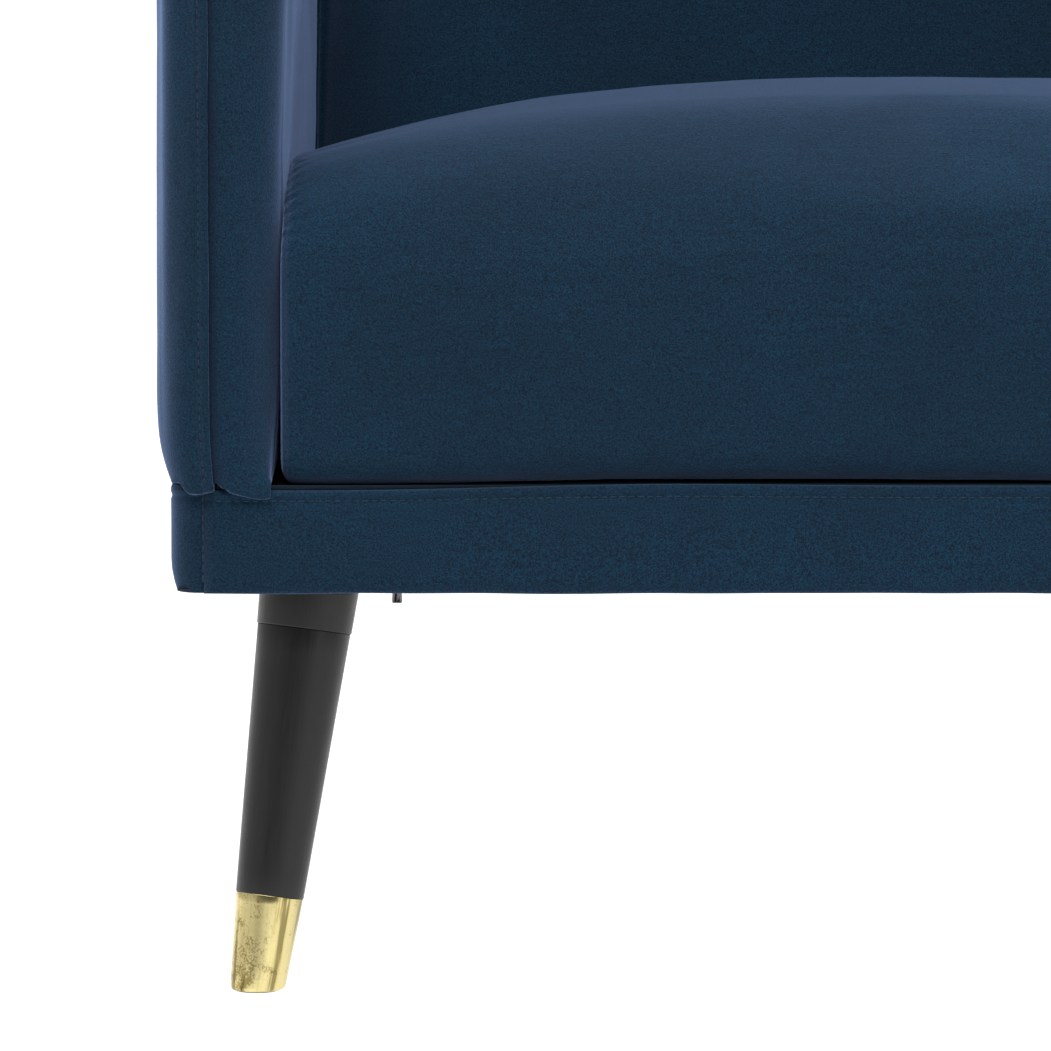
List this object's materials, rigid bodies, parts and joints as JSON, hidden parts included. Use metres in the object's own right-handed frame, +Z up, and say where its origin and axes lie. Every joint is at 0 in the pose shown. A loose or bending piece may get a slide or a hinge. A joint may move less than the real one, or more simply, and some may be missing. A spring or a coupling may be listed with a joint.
{
  "type": "two-seat sofa with wooden legs",
  "caption": "Velvet sofa with thin panel arms, a raked back, loose box seat cushions and splayed turned black legs with brass ferrules.",
  "frame": {"origin": "on the floor, under the middle of the sofa's overall width and depth", "axes": "+X to the sofa's own left-to-right as seen from the front, the front faces -Y, +Z up"},
  "size_m": [1.362, 0.78, 0.82],
  "materials": {
    "velvet": "matte",
    "deck_cloth": "matte",
    "dust_cloth": "matte",
    "leg_black_wood": "satin",
    "frame_timber": "matte",
    "ferrule_brass": "satin",
    "steel": "satin",
    "zip_metal": "satin",
    "black_plastic": "matte"
  },
  "bodies": {
    "sofa": {"leg_front_left": "leg_black_wood", "leg_front_left_collar": "leg_black_wood", "leg_front_left_ferrule": "ferrule_brass", "leg_front_left_glide": "black_plastic", "leg_front_left_hanger_bolt": "steel", "leg_front_right": "leg_black_wood", "leg_front_right_collar": "leg_black_wood", "leg_front_right_ferrule": "ferrule_brass", "leg_front_right_glide": "black_plastic", "leg_front_right_hanger_bolt": "steel", "leg_rear_left": "leg_black_wood", "leg_rear_left_collar": "leg_black_wood", "leg_rear_left_ferrule": "ferrule_brass", "leg_rear_left_glide": "black_plastic", "leg_rear_left_hanger_bolt": "steel", "leg_rear_right": "leg_black_wood", "leg_rear_right_collar": "leg_black_wood", "leg_rear_right_ferrule": "ferrule_brass", "leg_rear_right_glide": "black_plastic", "leg_rear_right_hanger_bolt": "steel", "base_rail_front": "frame_timber", "base_rail_rear": "frame_timber", "base_rail_left": "frame_timber", "base_rail_right": "frame_timber", "base_centre_stretcher": "frame_timber", "corner_block_front_left": "frame_timber", "corner_block_front_right": "frame_timber", "corner_block_rear_left": "frame_timber", "corner_block_rear_right": "frame_timber", "seat_spring_1": "steel", "seat_spring_2": "steel", "seat_spring_3": "steel", "seat_spring_4": "steel", "seat_spring_5": "steel", "seat_spring_6": "steel", "base_band_front": "velvet", "base_band_rear": "velvet", "base_band_left": "velvet", "base_band_right": "velvet", "seat_deck_pad": "deck_cloth", "dust_cover": "dust_cloth", "zip_tape": "dust_cloth", "arm_left_board": "frame_timber", "arm_left_outer_cover": "velvet", "arm_left_inner_cover": "velvet", "arm_left_bolt": "steel", "arm_right_board": "frame_timber", "arm_right_outer_cover": "velvet", "arm_right_inner_cover": "velvet", "arm_right_bolt": "steel", "back_rail_top": "frame_timber", "back_rail_bottom": "frame_timber", "back_post_left": "frame_timber", "back_post_right": "frame_timber", "back_front_pad": "velvet", "back_rear_cover": "velvet"},
    "seat_cushion_left": {"seat_cushion_left": "velvet"},
    "seat_cushion_right": {"seat_cushion_right": "velvet"},
    "zip_slider": {"zip_slider": "zip_metal"},
    "zip_pull": {"zip_pull": "zip_metal"}
  },
  "joints": [
    {"name": "seat_cushion_left_lift", "type": "slide", "parent": "sofa", "child": "seat_cushion_left", "axis": [0, 0, 1], "range_m": [0, 0.3]},
    {"name": "seat_cushion_right_lift", "type": "slide", "parent": "sofa", "child": "seat_cushion_right", "axis": [0, 0, 1], "range_m": [0, 0.3]},
    {"name": "zip_slider_travel", "type": "slide", "parent": "sofa", "child": "zip_slider", "axis": [0, 1, 0], "range_m": [0, 0.355]},
    {"name": "zip_pull_swing", "type": "hinge", "parent": "zip_slider", "child": "zip_pull", "pos_m": [-0.5695, -0.216, 0.1945], "axis": [1, 0, 0], "range_deg": [-80, 80]}
  ]
}
